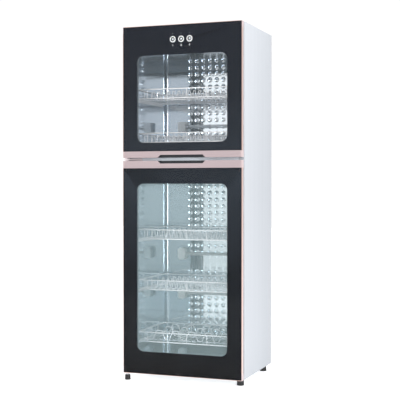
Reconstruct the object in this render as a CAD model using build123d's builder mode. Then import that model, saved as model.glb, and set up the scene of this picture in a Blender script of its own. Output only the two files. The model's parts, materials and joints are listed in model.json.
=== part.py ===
from build123d import *

import os

# A two-door dish sterilizer cabinet: a folded steel shell round two polished steel chambers,
# each behind its own framed glass door. The upper chamber has an ozone lamp and two sliding
# wire racks, the lower one has three quartz heater tubes and three racks.
# +X is to the right, +Y to the back, +Z up. The origin is on the floor, under the middle of
# the whole cabinet. Sizes are in millimetres.

os.makedirs("parts", exist_ok=True)

# ---- driving dimensions: shell ----
cabinet_width = 540.0
body_depth = 405.0
foot_height = 30.0  # floor to the underside of the shell
shell_sheet = 1.0
shell_fold = 2.0  # outer radius of the shell's folds
front_flange = 26.0  # width of the side panels' front fold
back_flange = 15.0
beam_return = 20.0  # depth of the cross beam's folded edges
base_lip = 25.0
skin_gap = 0.3  # between folded pieces that are slid into each other

# ---- driving dimensions: doors ----
door_lift = 0.6  # bottom hinge plate to the lower door
lower_door_height = 917.5
door_gap = 13.0
upper_door_height = 563.5
top_hinge_gap = 0.4  # upper door to the top hinge plate
door_frame_depth = 18.0
inner_frame_depth = 9.7
gasket_depth = 7.0
seal_gap = 0.3
cap_chamfer = 1.0
glass_thickness = 4.0
print_thickness = 0.4
frame_wall = 1.5
seat_flange = 14.0
rear_flange = 18.0
cap_width = 6.0
cap_depth = 25.0
top_cap_height = 28.0
upper_handle_height = 27.5
lower_handle_height = 31.5
handle_lip = 5.0
handle_lip_proud = 0.8
grip_width = 216.0
grip_height = 12.0
grip_depth = 14.0
window_width = 408.0
window_radius = 28.0
upper_window_height = 372.0
upper_window_rise = 65.0  # upper door's lower edge to its window
lower_window_height = 723.0
lower_window_rise = 97.0
liner_opening_margin = 5.0  # inner frame's opening beyond the printed window
inner_frame_gap = 1.0
gasket_inset = 10.0
gasket_width = 14.0
gasket_barb_width = 5.0
gasket_barb_depth = 4.0
barb_gap = 0.3

# ---- driving dimensions: hinges ----
pivot_inset = 11.0  # pivot axis from the cabinet's left side
pivot_depth = 12.0  # pivot axis behind the door front
pin_radius = 3.0
pin_length = 11.0
pin_play = 0.08  # radial running clearance in the bushes
bush_width = 9.0
bush_length = 12.5
bush_block_width = 14.0
bush_block_height = 16.0
bracket_sheet = 2.5
bracket_nose = 9.0
bracket_width = 75.0
bracket_seat_depth = 32.0
middle_flange_drop = 1.0  # middle bracket's flange to each door
collar_radius = 7.5
collar_gap = 0.3
screw_head_radius = 4.0
screw_head_height = 1.5
screw_spacing = 24.0

# ---- driving dimensions: buttons ----
button_spacing = 38.0
button_drop = 63.0  # upper door's top edge to the button axes
bezel_radius = 13.0
bezel_proud = 1.2
bezel_length = 9.0
bezel_neck = 11.0  # half the neck's width across flats
bezel_sides = 8
rim_sides = 24
bezel_hole_play = 0.3
button_radius = 9.0
button_play = 0.3
button_proud = 3.0
button_flange_radius = 10.4
button_flange = 1.2
switch_rest_gap = 2.8  # button's back to its switch plunger
plunger_size = 3.0
plunger_length = 0.6
switch_size = 8.0
board_width = 130.0
board_height = 44.0
board_thickness = 1.6
board_rise = 8.0  # board's centre above the button axes
light_rise = 25.0  # indicator lights above the button axes
light_size = 4.0

# ---- driving dimensions: chambers ----
liner_sheet = 0.8
back_cavity = 30.0  # chamber back to the outside of the cabinet back, for the rear board
side_insulation = 34.2  # shell's inner face to the chamber's inner face
liner_corner = 15.0
liner_seam = 5.0  # wall sheet beyond its rounded corner
liner_lip = 8.0  # wall sheet's front fold
lower_floor_height = 66.0  # above the shell's underside
divider_below = 40.0  # door gap's middle down to the lower chamber's ceiling
divider_above = 36.0
top_cavity = 70.0
stud_pitch_x = 32.5  # embossed pyramids of the back sheets
stud_pitch_z = 30.5
stud_columns = 8
stud_height = 5.0
upper_stud_rows = 14
lower_above_stud_rows = 12
lower_below_stud_rows = 10
smooth_strip_rise = 361.0  # lower chamber's floor to the plain strip behind its top heater
smooth_strip_height = 60.0
upper_stud_rise = 18.0  # upper chamber's floor to its first pyramids

# ---- driving dimensions: racks ----
rack_side_gap = 4.0  # chamber wall to the rack
rack_back_gap = 44.0  # rack to the chamber back, for the tubes and their holders
rack_setback = 31.0  # shell's front face to the rack's front rail
fence_height = 40.0  # bottom rail to top rail
rail_wire = 5.0
mesh_wire = 3.5
rail_sides = 6
mesh_sides = 4
floor_wires = 9
floor_wire_pitch = 48.0
front_uprights = 3
front_upright_pitch = 144.0
back_uprights = 2
back_upright_pitch = 240.0
rack_corner = 14.0
wave_count = 6  # plate holder: a wire bent into waves along X
wave_pitch = 64.0
wave_height = 33.0
wave_flat = 12.0  # straight stretch at the top and foot of each wave
wave_setback = 170.0  # rack's front rail to the plate holder
wave_sink = 1.0  # weld depth of the plate holder in the floor wires
runner_ledge = 9.5
runner_drop = 12.0
runner_sheet = 1.2
runner_back_gap = 43.0
runner_setback = 12.0
rack_lift = 0.3  # running gap between a rack and its runners
upper_rack_low = 36.2  # runners above their chamber's floor
upper_rack_high = 227.2
lower_rack_low = 62.2
lower_rack_middle = 290.2
lower_rack_high = 511.2

# ---- driving dimensions: lamp, heaters and electrics ----
holder_inner = 130.0  # cabinet's middle to the holders' inner faces
holder_width = 37.0
socket_height = 46.0
socket_depth = 26.0
socket_chamfer = 4.0
lamp_radius = 8.0
lamp_height = 125.0  # lamp axis above the upper chamber's floor
tube_setback = 18.0  # tube axes in front of the back sheet
ceramic_height = 54.0
ceramic_width = 36.0
ceramic_depth = 30.0
ceramic_chamfer = 9.0
heater_radius = 7.0
heater_low = 42.0  # heater axes above the lower chamber's floor
heater_middle = 246.0
heater_high = 429.0
box_width = 240.0
box_height = 55.0
box_setback = 130.0
box_back_gap = 125.0  # control box to the outside of the cabinet back
box_edge = 3.0
inlet_width = 48.0
inlet_height = 28.0
inlet_flange = 1.5
inlet_body_width = 27.0
inlet_body_height = 20.0
inlet_body_depth = 22.0
inlet_cavity_depth = 15.0
inlet_cavity_wall = 2.0
inlet_pin_length = 12.0
inlet_pin_radius = 1.5
inlet_pin_spacing = 6.5
inlet_offset = 150.0
inlet_drop = 36.0
slot_width = 60.0
slot_height = 4.0
slot_spacing = 9.0
slot_rows = 5
slot_drop = 36.0
panel_screw_inset = 9.0

# ---- driving dimensions: feet ----
foot_radius = 16.0
foot_sides = 12
hinge_foot_radius = 13.0
hinge_foot_inset = 16.0  # hinge foot's axis from the cabinet's left side
foot_side_inset = 27.0
foot_front_setback = 30.0
foot_back_inset = 38.0

# ---- places worked out from the sizes above ----
half_width = cabinet_width / 2
door_depth = door_frame_depth + inner_frame_depth + gasket_depth
liner_depth = body_depth - back_cavity
rack_depth = liner_depth - rack_setback - rack_back_gap
runner_length = liner_depth - runner_setback - runner_back_gap
box_depth = body_depth - box_setback - box_back_gap
total_depth = button_proud + door_depth + seal_gap + body_depth + inlet_flange
door_front = -total_depth / 2 + button_proud
print_front = door_front + glass_thickness
print_back = print_front + print_thickness
frame_back = door_front + door_frame_depth
inner_frame_back = frame_back + inner_frame_depth
gasket_back = inner_frame_back + gasket_depth
body_front = gasket_back + seal_gap
body_back = body_front + body_depth
skin_back = body_front + shell_sheet

lower_door_bottom = foot_height + door_lift
lower_door_top = lower_door_bottom + lower_door_height
upper_door_bottom = lower_door_top + door_gap
upper_door_top = upper_door_bottom + upper_door_height
shell_top = upper_door_top + top_hinge_gap
gap_middle = (lower_door_top + upper_door_bottom) / 2

wall_x = half_width - shell_sheet - side_insulation
liner_back = body_front + liner_depth
back_sheet_front = liner_back + liner_sheet
lower_floor = foot_height + lower_floor_height
lower_ceiling = gap_middle - divider_below
upper_floor = gap_middle + divider_above
upper_ceiling = shell_top - top_cavity

pivot_x = -half_width + pivot_inset
pivot_y = door_front + pivot_depth
button_z = upper_door_top - button_drop
bracket_root_x = pivot_x - bracket_nose  # the brackets' left edge
bracket_middle = gap_middle - bracket_sheet / 2

holder_x = holder_inner + holder_width / 2
tube_y = back_sheet_front - tube_setback
foot_back_y = body_back - foot_back_inset
foot_front_y = body_front + foot_front_setback

BACKWARD = (0, 1, 0)
UP = (0, 0, 1)
SIDES = (-1, 1)


def facing(y):
    """An upright plane at depth y, drawn as seen from the front of the cabinet."""
    return Plane(origin=(0, y, 0), x_dir=(1, 0, 0), z_dir=(0, -1, 0))


def from_right(x):
    """An upright plane at x, drawn with the depth to the right and the height upward."""
    return Plane(origin=(x, 0, 0), x_dir=(0, 1, 0), z_dir=(1, 0, 0))


def finish(part, label):
    """Name a finished piece and write its file."""
    part.part.label = label
    export_step(part.part, f"parts/{label}.step")


# ======================= outer shell =======================

# Side panels: one sheet each, folded in at the front and at the back.
for side, label in zip(SIDES, ("left_side_panel", "right_side_panel")):
    with BuildPart() as side_panel:
        with BuildSketch(Plane.XY.offset(foot_height)):
            with BuildLine():
                skin = FilletPolyline(
                    (side * (half_width - front_flange), body_front),
                    (side * half_width, body_front),
                    (side * half_width, body_back - shell_sheet),
                    (side * (half_width - back_flange), body_back - shell_sheet),
                    radius=shell_fold,
                )
                offset(skin, amount=shell_sheet, side=Side.LEFT if side > 0 else Side.RIGHT)
            make_face()
        extrude(amount=shell_top - shell_sheet - foot_height)
    finish(side_panel, label)

# Top panel: a lid with a folded front edge that closes the front above the upper chamber.
with BuildPart() as top_panel:
    with BuildSketch(Plane.XY.offset(shell_top - shell_sheet)):
        with Locations((0, (body_front + body_back) / 2)):
            Rectangle(cabinet_width, body_depth)
    extrude(amount=shell_sheet)
    with BuildSketch(facing(body_front)):
        with Locations((0, (upper_ceiling + shell_top - shell_sheet) / 2)):
            Rectangle(
                cabinet_width - 2 * front_flange, shell_top - shell_sheet - upper_ceiling
            )
    extrude(amount=shell_sheet, dir=BACKWARD)
    lid_rim = top_panel.faces().sort_by(Axis.Z)[-1].edges().filter_by(GeomType.LINE)
    fillet(lid_rim, radius=shell_sheet * 0.6)
finish(top_panel, "top_panel")

# Base pan: a tray whose front skirt closes the front below the lower chamber.
pan_width = cabinet_width - 2 * front_flange
with BuildPart() as base_pan:
    with BuildSketch(from_right(-pan_width / 2)):
        with BuildLine():
            pan_line = Polyline(
                (body_front, lower_floor),
                (body_front, foot_height),
                (body_back - 2 * shell_sheet, foot_height),
                (body_back - 2 * shell_sheet, foot_height + base_lip),
            )
            offset(pan_line, amount=shell_sheet, side=Side.LEFT)
        make_face()
    extrude(amount=pan_width)
    pan_floor_depth = body_depth - 3 * shell_sheet
    with BuildSketch(Plane.XY.offset(foot_height)):
        with Locations((0, skin_back + pan_floor_depth / 2)):
            Rectangle(cabinet_width - 2 * shell_fold, pan_floor_depth)
    extrude(amount=shell_sheet)
finish(base_pan, "base_pan")

# Cross beam between the two chambers, folded back above and below.
with BuildPart() as middle_beam:
    with BuildSketch(facing(body_front)):
        with Locations((0, (lower_ceiling + upper_floor) / 2)):
            Rectangle(pan_width, upper_floor - lower_ceiling)
    extrude(amount=shell_sheet, dir=BACKWARD)
    with BuildSketch(facing(skin_back)):
        for return_z in (
            lower_ceiling + liner_sheet + shell_sheet / 2,
            upper_floor - liner_sheet - shell_sheet / 2,
        ):
            with Locations((0, return_z)):
                Rectangle(2 * wall_x, shell_sheet)
    extrude(amount=beam_return, dir=BACKWARD)
finish(middle_beam, "middle_beam")

# Back panel: a flat sheet with cooling slots and the inlet's cut-out near the top.
back_height = shell_top - shell_sheet - foot_height
inlet_z = shell_top - inlet_drop
with BuildPart() as back_panel:
    with BuildSketch(facing(body_back - shell_sheet)):
        with Locations((0, foot_height + back_height / 2)):
            Rectangle(cabinet_width, back_height)
        with Locations((inlet_offset, inlet_z)):
            Rectangle(
                inlet_body_width + skin_gap,
                inlet_body_height + skin_gap,
                mode=Mode.SUBTRACT,
            )
        with Locations((0, shell_top - slot_drop)):
            with GridLocations(0, slot_spacing, 1, slot_rows):
                Rectangle(slot_width, slot_height, mode=Mode.SUBTRACT)
    extrude(amount=shell_sheet, dir=BACKWARD)
finish(back_panel, "back_panel")

# ======================= chambers =======================


def liner_wall(side, z_low, z_high, label):
    """One side wall of a chamber: a front lip, the wall, a rounded corner and a seam."""
    outward = side * (wall_x + liner_lip)
    with BuildPart() as wall:
        with BuildSketch(Plane.XY.offset(z_low)):
            with BuildLine():
                line = FilletPolyline(
                    (side * wall_x, skin_back),
                    (side * wall_x, liner_back),
                    (side * (wall_x - liner_corner - liner_seam), liner_back),
                    radius=liner_corner,
                )
                offset(line, amount=liner_sheet, side=Side.RIGHT if side > 0 else Side.LEFT)
            make_face()
            with Locations(
                ((side * (wall_x + liner_sheet) + outward) / 2, skin_back + liner_sheet / 2)
            ):
                Rectangle(liner_lip - liner_sheet, liner_sheet)
        extrude(amount=z_high - z_low)
    finish(wall, label)


def tent_line(start, pitch, count, low, high):
    """Points of a row of equal tents from start, as distances along and heights."""
    points = []
    for number in range(count):
        points.append((start + number * pitch, low))
        points.append((start + (number + 0.5) * pitch, high))
    points.append((start + count * pitch, low))
    return points


def embossed_sheet(z_low, z_high, fields, label):
    """A back sheet pressed into square pyramids: columns of tents crossed by rows of tents.

    Where two rows of tents cross, the lower of the two is left, which is a pyramid.
    fields lists each block of rows as its lowest edge and its number of rows.
    """
    sheet_half = wall_x - skin_gap
    face_y = back_sheet_front
    peak_y = face_y - stud_height
    back_y = face_y + liner_sheet
    columns = [
        (x, y)
        for x, y in tent_line(
            -stud_columns * stud_pitch_x / 2, stud_pitch_x, stud_columns, face_y, peak_y
        )
    ]
    rows = []
    for row_start, row_count in fields:
        rows += [
            (y, z) for z, y in tent_line(row_start, stud_pitch_z, row_count, face_y, peak_y)
        ]
    with BuildPart() as sheet:
        with BuildSketch(Plane.XY.offset(z_low)):
            with BuildLine():
                Polyline(
                    (-sheet_half, face_y),
                    *columns,
                    (sheet_half, face_y),
                    (sheet_half, back_y),
                    (-sheet_half, back_y),
                    close=True,
                )
            make_face()
        extrude(amount=z_high - z_low)
        with BuildSketch(from_right(-sheet_half)):
            with BuildLine():
                Polyline(
                    (face_y, z_low), *rows, (face_y, z_high), (back_y, z_high), (back_y, z_low),
                    close=True,
                )
            make_face()
        extrude(amount=2 * sheet_half, mode=Mode.INTERSECT)
    finish(sheet, label)


def liner_plate(z_low, label):
    """The flat floor or ceiling sheet of a chamber."""
    plate_depth = liner_depth - shell_sheet + 2 * liner_sheet
    with BuildPart() as plate:
        with BuildSketch(Plane.XY.offset(z_low)):
            with Locations((0, skin_back + plate_depth / 2)):
                Rectangle(2 * (wall_x + liner_sheet), plate_depth)
        extrude(amount=liner_sheet)
    finish(plate, label)


for side, side_name in zip(SIDES, ("left", "right")):
    liner_wall(side, lower_floor, lower_ceiling, f"lower_liner_{side_name}")
    liner_wall(side, upper_floor, upper_ceiling, f"upper_liner_{side_name}")

embossed_sheet(
    upper_floor,
    upper_ceiling,
    [(upper_floor + upper_stud_rise, upper_stud_rows)],
    "upper_liner_back",
)
strip_low = lower_floor + smooth_strip_rise
embossed_sheet(
    lower_floor,
    lower_ceiling,
    [
        (strip_low - lower_below_stud_rows * stud_pitch_z, lower_below_stud_rows),
        (strip_low + smooth_strip_height, lower_above_stud_rows),
    ],
    "lower_liner_back",
)
liner_plate(lower_floor - liner_sheet, "lower_liner_floor")
liner_plate(lower_ceiling, "lower_liner_ceiling")
liner_plate(upper_floor - liner_sheet, "upper_liner_floor")
liner_plate(upper_ceiling, "upper_liner_ceiling")

# Insulation: boards at both sides and behind, and one in the divider.
board_front = skin_back + liner_sheet + skin_gap
board_back = back_sheet_front + liner_sheet
board_low = foot_height + shell_sheet
board_high = upper_ceiling + liner_sheet
board_inner = wall_x + liner_sheet
board_outer = half_width - shell_sheet
with BuildPart() as insulation:
    with BuildSketch(Plane.XY.offset(board_low)):
        for side in SIDES:
            with Locations(
                (side * (board_inner + board_outer) / 2, (board_front + board_back) / 2)
            ):
                Rectangle(board_outer - board_inner, board_back - board_front)
        with Locations((0, (board_back + body_back - 2 * shell_sheet) / 2)):
            Rectangle(cabinet_width - 3 * shell_fold, body_back - 2 * shell_sheet - board_back)
    extrude(amount=board_high - board_low)
    # the base pan's rear lip stands in front of the back panel
    with BuildSketch(facing(body_back - 3 * shell_sheet)):
        with Locations((0, foot_height + base_lip / 2)):
            Rectangle(pan_width, base_lip)
    extrude(amount=shell_sheet, dir=BACKWARD, mode=Mode.SUBTRACT)
    # the divider's board lies behind the cross beam
    with BuildSketch(facing(skin_back + beam_return)):
        with Locations((0, (lower_ceiling + upper_floor) / 2)):
            Rectangle(2 * board_inner, upper_floor - lower_ceiling - 2 * liner_sheet)
    extrude(amount=board_back - skin_back - beam_return, dir=BACKWARD)
finish(insulation, "insulation")

# ======================= racks and their runners =======================

rack_half = wall_x - rack_side_gap - rail_wire / 2
rack_front = body_front + rack_setback
rack_back = rack_front + rack_depth
rack_levels = {
    "upper_rack_high": upper_floor + upper_rack_high,
    "upper_rack_low": upper_floor + upper_rack_low,
    "lower_rack_high": lower_floor + lower_rack_high,
    "lower_rack_middle": lower_floor + lower_rack_middle,
    "lower_rack_low": lower_floor + lower_rack_low,
}


def wire(points, thickness, sides):
    """A bent wire along the points, mitred at its corners."""
    with BuildLine(mode=Mode.PRIVATE):
        route = Polyline(*points)
    heading = route % 0
    across = (1, 0, 0) if abs(heading.X) < 0.5 else (0, 1, 0)
    with BuildSketch(Plane(origin=route @ 0, x_dir=across, z_dir=heading), mode=Mode.PRIVATE) as cut:
        RegularPolygon(thickness / 2, sides, major_radius=False)
    sweep(cut.sketch, path=route, transition=Transition.RIGHT)


def rail_points(z):
    """A rack's rectangular rail with cut corners, from the middle of its front and round."""
    return [
        (0, rack_front, z),
        (rack_half - rack_corner, rack_front, z),
        (rack_half, rack_front + rack_corner, z),
        (rack_half, rack_back - rack_corner, z),
        (rack_half - rack_corner, rack_back, z),
        (-rack_half + rack_corner, rack_back, z),
        (-rack_half, rack_back - rack_corner, z),
        (-rack_half, rack_front + rack_corner, z),
        (-rack_half + rack_corner, rack_front, z),
        (0, rack_front, z),
    ]


def wave_points(z):
    """Points along the lower side of the plate holder's wire, from left to right."""
    points = []
    rise = wave_pitch / 2 - wave_flat
    for number in range(wave_count):
        start = (number - wave_count / 2) * wave_pitch
        points.append((start, z))
        points.append((start + wave_flat, z))
        points.append((start + wave_flat + rise, z + wave_height))
        points.append((start + 2 * wave_flat + rise, z + wave_height))
    points.append((wave_count / 2 * wave_pitch, z))
    return points


for label, level in rack_levels.items():
    rail_z = level + rack_lift + rail_wire / 2
    top_z = rail_z + fence_height
    with BuildPart() as rack:
        wire(rail_points(rail_z), rail_wire, rail_sides)
        wire(rail_points(top_z), rail_wire, rail_sides)
        # floor wires run front to back between the bottom rails
        with BuildSketch(facing(rack_front)):
            with Locations((0, rail_z)):
                with GridLocations(floor_wire_pitch, 0, floor_wires, 1):
                    RegularPolygon(mesh_wire / 2, mesh_sides, major_radius=False)
        extrude(amount=rack_depth, dir=BACKWARD)
        # uprights join the rails at the front, the back and the sides
        with BuildSketch(Plane.XY.offset(rail_z)):
            with Locations((0, rack_front)):
                with GridLocations(front_upright_pitch, 0, front_uprights, 1):
                    RegularPolygon(mesh_wire / 2, mesh_sides, major_radius=False)
            with Locations((0, rack_back)):
                with GridLocations(back_upright_pitch, 0, back_uprights, 1):
                    RegularPolygon(mesh_wire / 2, mesh_sides, major_radius=False)
            with Locations((0, (rack_front + rack_back) / 2)):
                with GridLocations(2 * rack_half, 0, 2, 1):
                    RegularPolygon(mesh_wire / 2, mesh_sides, major_radius=False)
        extrude(amount=fence_height)
        # the plate holder is a wire of waves that stands on the floor wires
        with BuildSketch(facing(rack_front + wave_setback)):
            with BuildLine():
                waves = Polyline(*wave_points(rail_z + mesh_wire - wave_sink))
                offset(waves, amount=mesh_wire, side=Side.LEFT, kind=Kind.INTERSECTION)
            make_face()
        extrude(amount=mesh_wire, dir=BACKWARD)
    finish(rack, label)


def runners(levels, label):
    """Angle runners on both chamber walls, one pair to each rack."""
    with BuildPart() as pairs:
        with BuildSketch(facing(body_front + runner_setback)):
            for level in levels:
                for side in SIDES:
                    with Locations((side * (wall_x - runner_sheet / 2), level - runner_drop / 2)):
                        Rectangle(runner_sheet, runner_drop)
                    with Locations(
                        (side * (wall_x - runner_ledge / 2), level - runner_sheet / 2)
                    ):
                        Rectangle(runner_ledge, runner_sheet)
        extrude(amount=runner_length, dir=BACKWARD)
    finish(pairs, label)


runners([rack_levels["upper_rack_high"], rack_levels["upper_rack_low"]], "upper_rack_runners")
runners(
    [
        rack_levels["lower_rack_high"],
        rack_levels["lower_rack_middle"],
        rack_levels["lower_rack_low"],
    ],
    "lower_rack_runners",
)

# ======================= lamp and heaters =======================


lamp_z = upper_floor + lamp_height
with BuildPart() as ozone_lamp:
    with BuildSketch(from_right(-holder_inner)):
        with Locations((tube_y, lamp_z)):
            Circle(lamp_radius)
    extrude(amount=2 * holder_inner)
finish(ozone_lamp, "ozone_lamp")

with BuildPart() as lamp_sockets:
    with BuildSketch(facing(back_sheet_front)) as housings:
        for side in SIDES:
            with Locations((side * holder_x, lamp_z)):
                Rectangle(holder_width, socket_height)
        chamfer(housings.vertices(), length=socket_chamfer)
    extrude(amount=-socket_depth, dir=BACKWARD)
finish(lamp_sockets, "lamp_sockets")

heater_levels = [lower_floor + rise for rise in (heater_low, heater_middle, heater_high)]
with BuildPart() as quartz_heaters:
    with BuildSketch(from_right(-holder_inner)):
        for heater_z in heater_levels:
            with Locations((tube_y, heater_z)):
                Circle(heater_radius)
    extrude(amount=2 * holder_inner)
finish(quartz_heaters, "quartz_heaters")

# The tubes' ends stand against ceramic blocks on the back sheet.
with BuildPart() as heater_holders:
    with BuildSketch(facing(back_sheet_front)) as blocks:
        for heater_z in heater_levels:
            for side in SIDES:
                with Locations((side * (holder_inner + ceramic_width / 2), heater_z)):
                    Rectangle(ceramic_width, ceramic_height)
        chamfer(blocks.vertices(), length=ceramic_chamfer)
    extrude(amount=-ceramic_depth, dir=BACKWARD)
finish(heater_holders, "heater_holders")

# ======================= electrics above the upper chamber =======================

with BuildPart() as control_box:
    with BuildSketch(Plane.XY.offset(upper_ceiling + liner_sheet)):
        with Locations((0, body_front + box_setback + box_depth / 2)):
            Rectangle(box_width, box_depth)
    extrude(amount=box_height)
    chamfer(control_box.edges().filter_by(Axis.Z), length=box_edge)
finish(control_box, "control_box")

with BuildPart() as mains_inlet:
    with BuildSketch(facing(body_back)):
        with Locations((inlet_offset, inlet_z)):
            Rectangle(inlet_width, inlet_height)
    extrude(amount=inlet_flange, dir=BACKWARD)
    with BuildSketch(facing(body_back)):
        with Locations((inlet_offset, inlet_z)):
            Rectangle(inlet_body_width, inlet_body_height)
    extrude(amount=-inlet_body_depth, dir=BACKWARD)
    with BuildSketch(facing(body_back + inlet_flange)):
        with Locations((inlet_offset, inlet_z)):
            Rectangle(
                inlet_body_width - 2 * inlet_cavity_wall,
                inlet_body_height - 2 * inlet_cavity_wall,
            )
    extrude(amount=-inlet_cavity_depth, dir=BACKWARD, mode=Mode.SUBTRACT)
    with BuildSketch(facing(body_back + inlet_flange - inlet_cavity_depth)):
        with Locations((inlet_offset, inlet_z)):
            with GridLocations(inlet_pin_spacing, 0, 3, 1):
                RegularPolygon(inlet_pin_radius, 4)
    extrude(amount=inlet_pin_length, dir=BACKWARD)
finish(mains_inlet, "mains_inlet")

# ======================= hinges, feet and screws =======================


def bracket_plate(z, seat_front, seat_back):
    """A hinge plate: a rounded nose round the pivot, widening to its seat on the cabinet."""
    with BuildSketch(Plane.XY.offset(z), mode=Mode.PRIVATE) as plate:
        with Locations((pivot_x, pivot_y)):
            Circle(bracket_nose)
        with Locations((bracket_root_x + bracket_width / 2, (seat_front + seat_back) / 2)):
            Rectangle(bracket_width, seat_back - seat_front)
        make_hull()
    extrude(plate.sketch, amount=bracket_sheet)


def post(z_from, z_to, radius):
    """A round pin, collar or stud on the pivot axis."""
    with BuildSketch(Plane.XY.offset(z_from), mode=Mode.PRIVATE) as disc:
        with Locations((pivot_x, pivot_y)):
            Circle(radius)
    extrude(disc.sketch, amount=z_to - z_from)


with BuildPart() as top_hinge_bracket:
    bracket_plate(shell_top, body_front, body_front + bracket_seat_depth)
    post(shell_top, shell_top - top_hinge_gap - pin_length, pin_radius)
finish(top_hinge_bracket, "top_hinge_bracket")

middle_flange_height = door_gap - 2 * middle_flange_drop
with BuildPart() as middle_hinge_bracket:
    bracket_plate(bracket_middle, body_front - bracket_sheet, body_front)
    with BuildSketch(Plane.XY.offset(lower_door_top + collar_gap), mode=Mode.PRIVATE) as collar:
        with Locations((pivot_x, pivot_y)):
            RegularPolygon(collar_radius, 6)
    extrude(collar.sketch, amount=door_gap - 2 * collar_gap)
    post(lower_door_top - pin_length, upper_door_bottom + pin_length, pin_radius)
    with BuildSketch(facing(body_front - bracket_sheet)):
        with Locations((bracket_root_x + bracket_width / 2, gap_middle)):
            Rectangle(bracket_width, middle_flange_height)
    extrude(amount=bracket_sheet, dir=BACKWARD)
finish(middle_hinge_bracket, "middle_hinge_bracket")

with BuildPart() as bottom_hinge_bracket:
    bracket_plate(foot_height - bracket_sheet, body_front, body_front + bracket_seat_depth)
    post(foot_height, lower_door_bottom + pin_length, pin_radius)
finish(bottom_hinge_bracket, "bottom_hinge_bracket")


with BuildPart() as feet:
    with BuildSketch():
        with Locations(
            (half_width - foot_side_inset, foot_front_y),
            (half_width - foot_side_inset, foot_back_y),
            (-half_width + foot_side_inset, foot_back_y),
        ):
            RegularPolygon(foot_radius, foot_sides)
    extrude(amount=foot_height)
finish(feet, "feet")

with BuildPart() as hinge_foot:
    with BuildSketch():
        with Locations((-half_width + hinge_foot_inset, pivot_y)):
            RegularPolygon(hinge_foot_radius, foot_sides)
    extrude(amount=foot_height - bracket_sheet)
finish(hinge_foot, "hinge_foot")


def screw_heads(plane, places, direction):
    """Hexagonal screw heads that lie on the plane at the places."""
    with BuildSketch(plane, mode=Mode.PRIVATE) as heads:
        with Locations(*places):
            RegularPolygon(screw_head_radius, 6)
    extrude(heads.sketch, amount=screw_head_height, dir=direction)


# Hexagon screws: two in each hinge bracket's seat and six round the back panel.
seat_screw_y = body_front + bracket_seat_depth / 2
seat_screw_x = bracket_root_x + bracket_width / 2
with BuildPart() as cabinet_screws:
    for number in SIDES:
        seat_x = seat_screw_x + number * screw_spacing / 2
        screw_heads(Plane.XY.offset(shell_top + bracket_sheet), [(seat_x, seat_screw_y)], UP)
        screw_heads(
            Plane.XY.offset(foot_height - bracket_sheet),
            [(seat_x, seat_screw_y)],
            (0, 0, -1),
        )
    for side in SIDES:
        for screw_z in (
            foot_height + base_lip / 2,
            gap_middle,
            shell_top - top_cavity / 2,
        ):
            screw_heads(
                facing(body_back),
                [(side * (half_width - panel_screw_inset), screw_z)],
                BACKWARD,
            )
finish(cabinet_screws, "cabinet_screws")

# ======================= doors =======================


def framed_plate(y, width, z_low, z_high):
    """An upright rectangle at depth y, as a private sketch."""
    with BuildSketch(facing(y), mode=Mode.PRIVATE) as plate:
        with Locations((0, (z_low + z_high) / 2)):
            Rectangle(width, z_high - z_low)
    return plate.sketch


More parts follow.
